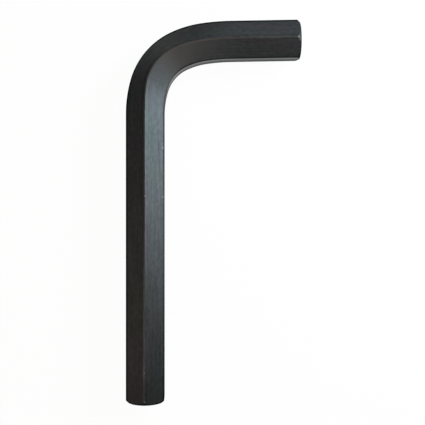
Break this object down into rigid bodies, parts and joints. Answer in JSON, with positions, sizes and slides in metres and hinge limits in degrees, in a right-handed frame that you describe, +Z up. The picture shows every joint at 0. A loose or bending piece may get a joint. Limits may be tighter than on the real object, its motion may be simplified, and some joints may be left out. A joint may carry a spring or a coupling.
{
  "type": "hex key",
  "caption": "L-shaped hexagonal key in blackened steel: a long and a short arm of one bent bar, with a short cone turned on each tip.",
  "frame": {"origin": "on the surface that the key lies on, under the middle of its box", "axes": "+Y along the long arm, from its tip towards the bend; +X the way the short arm points from the bend; +Z up"},
  "size_m": [0.1016, 0.2226, 0.0249],
  "materials": {
    "blackened_steel": "satin black oxide over drawn steel, with faint lines along the bar and paler worn corners"
  },
  "bodies": {
    "root": {"hex_key": "blackened_steel"}
  },
  "joints": []
}
